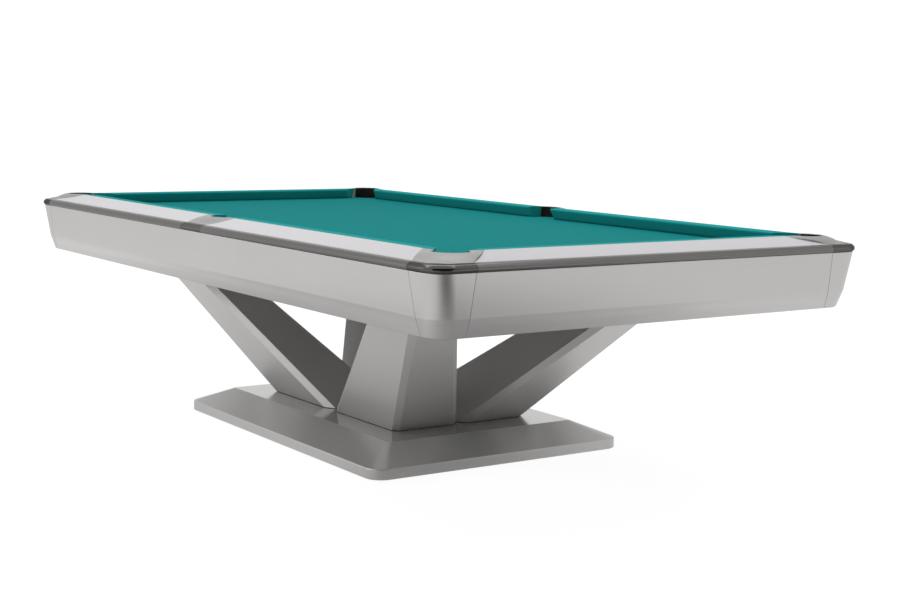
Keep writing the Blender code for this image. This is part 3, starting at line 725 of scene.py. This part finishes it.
def cushion_rings(strip, low, high, along_x, sign_across):
    """Rings between two facings; low and high give each place along, from depth and drop."""
    rings = []
    nose = strip - CUSHION_DEPTH
    for share in (0.0, 0.012, 0.25, 0.5, 0.75, 0.988, 1.0):
        ring = []
        for across, height in cushion_section(strip):
            depth, drop = across - nose, BED_TOP + NOSE_HEIGHT - height
            place = low(depth, drop) + (high(depth, drop) - low(depth, drop)) * share
            plan = (place, sign_across * across) if along_x else (sign_across * across, place)
            ring.append((*plan, height))
        rings.append(ring)
    return rings


def make_cushions():
    """Cloth-covered cushions; their facings turn outwards and lean back below the nose."""
    corner_slope = 1.0 / math.tan(CORNER_MITRE)
    corner_draft = math.tan(BACK_DRAFT) / math.sin(CORNER_MITRE)
    side_slope = math.tan(SIDE_MITRE)
    side_draft = math.tan(BACK_DRAFT) / math.cos(SIDE_MITRE)
    nose_x, nose_y = STRIP_X - CUSHION_DEPTH, STRIP_Y - CUSHION_DEPTH
    for corner, (sign_x, sign_y) in QUADRANTS.items():
        def near(depth, drop, sign=sign_x):
            return sign * (MOUTH_SIDE - depth * side_slope + drop * side_draft)

        def far(depth, drop, sign=sign_x):
            return sign * (nose_x - MOUTH_LONG + depth * corner_slope - drop * corner_draft)

        rings = cushion_rings(STRIP_Y, near, far, True, sign_y)
        piece = loft("cushion_long_" + corner, rings, CUSHION_CLOTH_LIGHTENED)
        soften(piece, 0.0022, 3, 40)
        stand_for(piece, "cushion_" + corner)

    def high(depth, drop):
        return nose_y - MOUTH_END + depth * corner_slope - drop * corner_draft

    def low(depth, drop):
        return -high(depth, drop)

    for end, sign in (("left", -1), ("right", 1)):
        rings = cushion_rings(STRIP_X, low, high, False, sign)
        piece = loft("cushion_short_" + end, rings, CUSHION_CLOTH_LIGHTENED)
        soften(piece, 0.0022, 3, 40)
        stand_for(piece, "cushion_end_" + end)


def make_bed():
    """One stretched cloth with softened edges, cut out at the corner pockets.

    Known fault: half bulges outwards, so the cloth covers the side pockets. Its arc should start at tilt.
    """
    reach_x, reach_y = STRIP_X - 0.0007, STRIP_Y - 0.0007
    radius = CORNER_RADIUS + 0.0008
    first = math.degrees(math.acos((reach_x - CORNER_CENTRE[0]) / radius))
    last = math.degrees(math.asin((reach_y - CORNER_CENTRE[1]) / radius))
    quarter = arc(CORNER_CENTRE, radius, -first, -180 - last, 30)
    radii = (SIDE_RADII[0] + 0.0008, SIDE_RADII[1] + 0.0008)
    tilt = math.degrees(math.asin((reach_y - SIDE_CENTRE) / radii[1]))
    half = arc((0.0, SIDE_CENTRE), radii, tilt - 360, -180 - tilt, 30)
    half_edge = 0.3
    outline = [(reach_x, -half_edge), (reach_x, half_edge)]
    outline += quarter + half + signed(quarter, -1, 1)[::-1]
    outline += [(-reach_x, half_edge), (-reach_x, -half_edge)]
    outline += signed(quarter, -1, -1) + signed(half, 1, -1)[::-1] + signed(quarter, 1, -1)[::-1]
    faces = [[(x, y, height) for x, y in outline] for height in (BED_TOP - CLOTH, BED_TOP)]
    piece = loft("bed_cloth_sheet", faces, BED_CLOTH)
    soften(piece, 0.0004, 3, 50)
    stand_for(piece, "bed_cloth")


def make_liners():
    """Black moulded cups with a rolled rim and a plain wall that curves in to a domed floor."""
    places = {}
    for corner, (sign_x, sign_y) in QUADRANTS.items():
        centre = (sign_x * CORNER_CENTRE[0], sign_y * CORNER_CENTRE[1])
        places[corner] = (centre, (CORNER_RADIUS, CORNER_RADIUS))
    for side, sign in (("front", -1), ("back", 1)):
        places[side] = ((0.0, sign * SIDE_CENTRE), SIDE_RADII)
    sides = 72
    for label, (centre, radii) in places.items():
        rings = []
        for step in range(sides):
            turn = 2 * math.pi * step / sides
            across, along = math.cos(turn), math.sin(turn)
            edge_x, edge_y = centre[0] + radii[0] * across, centre[1] + radii[1] * along
            beyond = abs(edge_x) > STRIP_X + 0.0008 or abs(edge_y) > STRIP_Y + 0.0008
            ring = []
            for inset, height in cup_section(RAIL_TOP - 0.0018 if beyond else SLATE_TOP - 0.0004):
                x, y = centre[0] + (radii[0] - inset) * across, centre[1] + (radii[1] - inset) * along
                ring.append((x, y, height))
            rings.append(ring)
        piece = cup("pocket_cup_" + label, rings, centre, CUP_FLOOR)
        stand_for(piece, "pocket_liner_" + label)


def cup_section(rim):
    """A cup's wall up to its rolled rim, as (inset, height)."""
    return [
        (0.0, CUP_FLOOR), (0.0, rim - 0.0012), (0.0006, rim - 0.0003), (0.0015, rim), (0.0024, rim - 0.0003),
        (CUP_WALL, rim - 0.0012), (CUP_WALL, CUP_FLOOR + 0.022), (CUP_WALL + 0.0010, CUP_FLOOR + 0.014),
        (0.012, CUP_FLOOR + 0.0045)]


def cup(name, rings, centre, floor):
    """Closes a turned wall with a domed floor and a flat underside."""
    work = bmesh.new()
    made = [[work.verts.new(point) for point in ring] for ring in rings]
    count = len(made)
    for index, ring in enumerate(made):
        after = made[(index + 1) % count]
        for place in range(len(ring) - 1):
            work.faces.new((ring[place], after[place], after[place + 1], ring[place + 1]))
    inside = work.verts.new((*centre, floor + 0.003))
    below = work.verts.new((*centre, floor))
    for index, ring in enumerate(made):
        after = made[(index + 1) % count]
        work.faces.new((ring[-1], after[-1], inside))
        work.faces.new((after[0], ring[0], below))
    return new_piece(name, work, RUBBER, 40)


# ---------------------------------------------------------------- base, legs and feet

def make_base():
    """One thick plate: a rounded edge, four slopes and the polished plateau that carries the legs."""
    rim, rise = 0.0035, PLATE_TOP - PLATE_EDGE_TOP
    levels = (
        (PLATE_LOW, 0.0015), (PLATE_LOW + 0.0015, 0.0), (PLATE_EDGE_TOP - rim, 0.0),
        (PLATE_EDGE_TOP - 0.0009, 0.0011), (PLATE_EDGE_TOP, rim))
    rings = []
    for height, inset in levels:
        outline = rounded_rectangle(PLATE_X - inset, PLATE_Y - inset, PLATE_RADIUS - inset)
        rings.append([(x, y, height) for x, y in outline])
    for share, radius, shy in ((0.985, 0.014, 0.0), (1.0, 0.012, 0.0002)):
        half_x = (PLATE_X - rim) + (PLATEAU_X - PLATE_X + rim) * share
        half_y = (PLATE_Y - rim) + (PLATEAU_Y - PLATE_Y + rim) * share
        height = PLATE_EDGE_TOP + rise * share - shy
        rings.append([(x, y, height) for x, y in rounded_rectangle(half_x, half_y, radius)])
    piece = loft("bevelled_base", rings, PLATE, sharp=12.0)
    piece.data.materials.append(PLATEAU)
    for face in piece.data.polygons:
        face.material_index = 1 if face.normal.z > 0.99 else 0
    stand_for(piece, "base_plate")


def rounded_rectangle(half_x, half_y, radius, steps=8):
    """Outline of a rectangle with round corners."""
    outline = []
    for start, sign_x, sign_y in ((-90, 1, -1), (0, 1, 1), (90, -1, 1), (180, -1, -1)):
        centre = (sign_x * (half_x - radius), sign_y * (half_y - radius))
        outline += arc(centre, radius, start, start + 90, steps)
    return outline


def leg_outline(height, inset=0.0):
    """Chamfered outline of the (+X, +Y) leg at one height."""
    share = (height - (PLATE_TOP + GAP)) / (BEAM_BOTTOM - PLATE_TOP - 2 * GAP)
    x_in, x_out, y_in, y_out = [low + (high - low) * share for low, high in zip(LEG_FOOT, LEG_TOP)]
    x_in, y_in, x_out, y_out = x_in + inset, y_in + inset, x_out - inset, y_out - inset
    return [
        (x_in + 0.022, y_in), (x_out - 0.026, y_in), (x_out, y_in + 0.032), (x_out, y_out - 0.019),
        (x_out - 0.019, y_out), (x_in + 0.040, y_out), (x_in, y_out - 0.024), (x_in, y_in + 0.022)]


def make_legs():
    """Four splayed legs, each on a thin black strip, set back, that paints the shadow in the gap under it."""
    bottom, top = PLATE_TOP + GAP, BEAM_BOTTOM - GAP
    for corner, (sign_x, sign_y) in QUADRANTS.items():
        rings = []
        for height in (bottom + LEG_REVEAL, bottom + 0.16, bottom + 0.32, top):
            rings.append(signed([(x, y, height) for x, y in leg_outline(height)], sign_x, sign_y))
        piece = loft("leg_shell_" + corner, rings, LEG, sharp=10.0)
        soften(piece, 0.0012, 3, 15)
        stand_for(piece, "leg_" + corner)
        # A thin black strip under each leg is painted shadow for the gap between leg and plate.
        rings = []
        for height in (bottom, bottom + LEG_REVEAL):
            rings.append(signed([(x, y, height) for x, y in leg_outline(height, 0.0025)], sign_x, sign_y))
        shadow_strip = loft("leg_shadow_strip_" + corner, rings, RUBBER)
        stand_for(shadow_strip, None)


def make_feet():
    """Turned pads with a socket, and the threaded stems that turn in the base plate."""
    profile = [
        (0.0071, 0.0058), (0.0071, 0.0108), (0.0080, 0.0115), (0.0130, 0.0115), (0.0150, 0.0108),
        (0.0270, 0.0072), (0.0310, 0.0058), (0.0320, 0.0045), (0.0320, 0.0008), (0.0312, 0.0),
        (0.0, 0.0), (0.0, 0.0055)]
    for corner, (sign_x, sign_y) in QUADRANTS.items():
        centre = (sign_x * FOOT_X, sign_y * FOOT_Y)
        work = bmesh.new()
        lathe_solid(work, centre, profile)
        piece = new_piece("level_pad_" + corner, work, ZINC, 30)
        stand_for(piece, "foot_pad_" + corner, "pad_" + corner)
        stem = threaded_stem("level_stem_" + corner, centre)
        stand_for(stem, "foot_stem_" + corner, "stem_" + corner)


def lathe_solid(work, centre, profile, sides=48):
    """Turns an open profile whose ends lie on the axis into a closed solid."""
    columns = []
    poles = {}
    for place, (radius, height) in enumerate(profile):
        if radius == 0.0:
            poles[place] = work.verts.new((centre[0], centre[1], height))
    for step in range(sides):
        turn = 2 * math.pi * step / sides
        column = []
        for place, (radius, height) in enumerate(profile):
            point = (centre[0] + radius * math.cos(turn), centre[1] + radius * math.sin(turn), height)
            column.append(poles[place] if place in poles else work.verts.new(point))
        columns.append(column)
    for index, column in enumerate(columns):
        after = columns[(index + 1) % sides]
        for place in range(len(profile)):
            following = (place + 1) % len(profile)
            corners = [column[place], after[place], after[following], column[following]]
            distinct = list(dict.fromkeys(corners))
            if len(distinct) > 2:
                work.faces.new(distinct)


def threaded_stem(name, centre):
    """A rod with a real right-hand thread above a plain tip."""
    work = bmesh.new()
    sides, tip_radius, end_radius = 24, 0.0063, 0.0068
    crests = (0.42, 0.58)
    per_turn = 1 + len(crests)
    starts = int((THREAD_HIGH - THREAD_LOW) / THREAD_PITCH * sides) // sides - 1
    columns = []
    for step in range(sides):
        turn = 2 * math.pi * step / sides
        levels = [(tip_radius, 0.0060), (tip_radius, THREAD_LOW - 0.0001)]
        height = THREAD_LOW + THREAD_PITCH * step / sides
        while height < THREAD_HIGH:
            levels.append((THREAD_ROOT, height))
            levels += [(THREAD_CREST, height + THREAD_PITCH * share) for share in crests]
            height += THREAD_PITCH
        levels = levels[:2 + per_turn * starts]
        levels.append((end_radius, THREAD_HIGH + 0.0006))
        column = []
        for radius, level in levels:
            point = (centre[0] + radius * math.cos(turn), centre[1] + radius * math.sin(turn), level)
            column.append(work.verts.new(point))
        columns.append(column)
    for index in range(sides):
        column, after = columns[index], columns[(index + 1) % sides]
        for place in range(len(column) - 1):
            work.faces.new((column[place], after[place], after[place + 1], column[place + 1]))
    work.faces.new([column[0] for column in reversed(columns)])
    work.faces.new([column[-1] for column in columns])
    return new_piece(name, work, ZINC, 25)


# ---------------------------------------------------------------- underside

def bolt(work, centre, height, radius, depth):
    """A hexagon head seen from below."""
    rings = []
    for reach, level in ((0.8 * radius, height - depth), (radius, height - depth + 0.001), (radius, height)):
        rings.append([(x, y, level) for x, y in arc(centre, reach, 0, 300, 5)])
    skin(work, rings)


def make_underside():
    """Materials of the subframe and slates, and the bolts that hold the rails."""
    looks = {"subframe": FRAME_PAINT, "slate_left": SLATE, "slate_centre": SLATE, "slate_right": SLATE}
    for node, look in looks.items():
        nodes[node].data.materials.clear()
        nodes[node].data.materials.append(look)
    work = bmesh.new()
    height, radius, depth = RAIL_BOTTOM - 0.0003, 0.0095, 0.006
    for sign in (-1, 1):
        for place in (-1.15, -0.95, -0.75, -0.55, -0.35, -0.15, 0.15, 0.35, 0.55, 0.75, 0.95, 1.15):
            bolt(work, (place, sign * BOLT_Y), height, radius, depth)
    for sign in (-1, 1):
        for place in (-0.5, -0.3, -0.1, 0.1, 0.3, 0.5):
            bolt(work, (sign * BOLT_X, place), height, radius, depth)
    piece = new_piece("rail_bolts", work, ZINC, 20)
    stand_for(piece, None)


make_aprons()
make_trims()
make_rails()
make_corner_castings()
make_side_castings()
make_seam_lines()
make_cushions()
make_bed()
make_liners()
make_base()
make_legs()
make_feet()
make_underside()


# ---------------------------------------------------------------- studio

def make_floor():
    """A pale floor that glows enough to vanish into the background."""
    work = bmesh.new()
    bmesh.ops.create_grid(work, x_segments=8, y_segments=8, size=40.0)
    made = Shader("pale_floor", (0.20, 0.20, 0.20), 0.8, 0.0, Emission_Strength=0.90)
    made.main.inputs["Emission Color"].default_value = (1.0, 1.0, 1.0, 1.0)
    made.main.inputs["Specular IOR Level"].default_value = 0.0
    made.tint(made.remap(made.noise(0.6), 0.0, 1.0), 0.99, 1.01)
    new_piece("studio_floor", work, made.material)


def make_flag(name, place, reach, level, matt=False):
    """A soft-edged dark card on the floor, seen in the table's reflections and, if matt, in its shading."""
    material = bpy.data.materials.new(name)
    material.use_nodes = True
    tree = material.node_tree
    tree.nodes.clear()
    output = tree.nodes.new("ShaderNodeOutputMaterial")
    glow = tree.nodes.new("ShaderNodeEmission")
    clear = tree.nodes.new("ShaderNodeBsdfTransparent")
    blend = tree.nodes.new("ShaderNodeMixShader")
    source = tree.nodes.new("ShaderNodeTexCoord")
    length = tree.nodes.new("ShaderNodeVectorMath")
    length.operation = "LENGTH"
    fade = tree.nodes.new("ShaderNodeMapRange")
    fade.interpolation_type = "SMOOTHSTEP"
    fade.inputs["From Min"].default_value = 0.30
    fade.inputs["From Max"].default_value = 1.0
    glow.inputs["Color"].default_value = (level, level, level, 1.0)
    tree.links.new(source.outputs["Object"], length.inputs[0])
    tree.links.new(length.outputs["Value"], fade.inputs["Value"])
    tree.links.new(fade.outputs["Result"], blend.inputs["Fac"])
    tree.links.new(glow.outputs["Emission"], blend.inputs[1])
    tree.links.new(clear.outputs["BSDF"], blend.inputs[2])
    tree.links.new(blend.outputs["Shader"], output.inputs["Surface"])
    make_card(name, material, place, (*reach, 1.0)).visible_diffuse = matt


def make_card(name, material, place, scale, turn=(0.0, 0.0, 0.0)):
    """A flat studio card that the camera doesn't see and, unless changed, only glossy surfaces do."""
    work = bmesh.new()
    bmesh.ops.create_grid(work, x_segments=4, y_segments=4, size=1.0)
    card = new_piece(name, work, material)
    card.location, card.scale, card.rotation_euler = place, scale, turn
    card.visible_camera = False
    card.visible_diffuse = False
    card.visible_shadow = False
    return card


def make_dark_wall():
    """The unlit end of the room behind the photographer, seen only in the table's reflections."""
    made = Shader("unlit_room", (0.02, 0.02, 0.02), 0.9)
    made.main.inputs["Specular IOR Level"].default_value = 0.0
    made.tint(made.noise(1.0), 0.8, 1.2)
    upright = (math.radians(90), 0.0, math.radians(62))
    make_card("unlit_room", made.material, (5.85, -3.15, 3.0), (4.6, 3.0, 1.0), upright)


def make_light(name, place, aim, size, power):
    """A soft white box light that the camera doesn't see."""
    data = bpy.data.lights.new(name, "AREA")
    data.shape = "RECTANGLE"
    data.size, data.size_y = size
    data.energy = power
    lamp = bpy.data.objects.new(name, data)
    bpy.context.scene.collection.objects.link(lamp)
    lamp.location = place
    lamp.rotation_euler = (Vector(aim) - Vector(place)).to_track_quat("-Z", "Y").to_euler()
    lamp.visible_camera = False


def make_world():
    """White to the camera; darker from the photographer's side for gloss, and a little for shading."""
    world = bpy.data.worlds.new("studio")
    bpy.context.scene.world = world
    world.use_nodes = True
    tree = world.node_tree
    background = tree.nodes["Background"]
    background.inputs["Strength"].default_value = 1.0
    source = tree.nodes.new("ShaderNodeTexCoord")
    aim = tree.nodes.new("ShaderNodeVectorMath")
    aim.operation = "DOT_PRODUCT"
    aim.inputs[1].default_value = Vector((1.0, -0.06, 0.0)).normalized()
    tree.links.new(source.outputs["Generated"], aim.inputs[0])
    ramp = tree.nodes.new("ShaderNodeValToRGB")
    first, last = ramp.color_ramp.elements
    first.position, first.color = 0.0, (1.0, 1.0, 1.0, 1.0)
    last.position, last.color = 1.0, (0.05, 0.05, 0.05, 1.0)
    for position, level in ((0.55, 0.95), (0.75, 0.50), (0.87, 0.10)):
        element = ramp.color_ramp.elements.new(position)
        element.color = (level, level, level, 1.0)
    tree.links.new(aim.outputs["Value"], ramp.inputs["Fac"])
    shading = tree.nodes.new("ShaderNodeMapRange")
    shading.inputs["To Min"].default_value = 1.0
    shading.inputs["To Max"].default_value = 0.40
    tree.links.new(aim.outputs["Value"], shading.inputs["Value"])
    path = tree.nodes.new("ShaderNodeLightPath")
    result = None
    levels = {"Is Diffuse Ray": shading.outputs["Result"], "Is Glossy Ray": ramp.outputs["Color"]}
    for kind, level in levels.items():
        mix = tree.nodes.new("ShaderNodeMix")
        mix.data_type = "RGBA"
        mix.inputs["A"].default_value = (1.0, 1.0, 1.0, 1.0)
        if result is not None:
            tree.links.new(result, mix.inputs["A"])
        tree.links.new(path.outputs[kind], mix.inputs["Factor"])
        tree.links.new(level, mix.inputs["B"])
        result = mix.outputs["Result"]
    tree.links.new(result, background.inputs["Color"])


def make_camera():
    """The photographer's place: just above the rails, off the front right corner."""
    data = bpy.data.cameras.new("camera")
    data.sensor_width, data.lens = 36.0, 62.18
    data.clip_end = 200.0
    camera = bpy.data.objects.new("camera", data)
    bpy.context.scene.collection.objects.link(camera)
    yaw, pitch, roll = math.radians(55.66), math.radians(7.192), math.radians(1.06)
    ahead = Vector((-math.sin(yaw) * math.cos(pitch), math.cos(yaw) * math.cos(pitch), -math.sin(pitch)))
    right = ahead.cross(Vector((0.0, 0.0, 1.0))).normalized()
    up = right.cross(ahead)
    turned_right = right * math.cos(roll) + up * math.sin(roll)
    turned_up = up * math.cos(roll) - right * math.sin(roll)
    facing = Matrix((turned_right, turned_up, -ahead)).transposed().to_4x4()
    camera.matrix_world = Matrix.Translation((4.6566, -2.9479, 1.1711)) @ facing
    bpy.context.scene.camera = camera


make_floor()
make_flag("floor_flag_far", (2.6, -0.5, 0.004), (2.5, 1.8), 0.50)
make_flag("floor_flag_near", (1.15, -0.25, 0.005), (0.90, 0.85), 0.38, True)
make_flag("floor_flag_corner", (3.9, -1.4, 0.006), (1.8, 1.8), 0.05)
make_flag("floor_flag_front", (-0.2, -0.7, 0.003), (2.2, 1.7), 0.72)
make_dark_wall()
make_world()
make_light("overhead", (0.3, -0.2, 3.6), (0.0, 0.0, 0.7), (3.6, 2.4), 60.0)
make_light("left_box", (-2.0, -4.5, 2.2), (0.0, 0.0, 0.5), (3.5, 2.5), 34.0)
make_light("right_box", (4.5, 3.5, 2.2), (0.0, 0.0, 0.5), (3.0, 2.5), 10.0)
bpy.context.scene.view_settings.view_transform = "Standard"
make_camera()
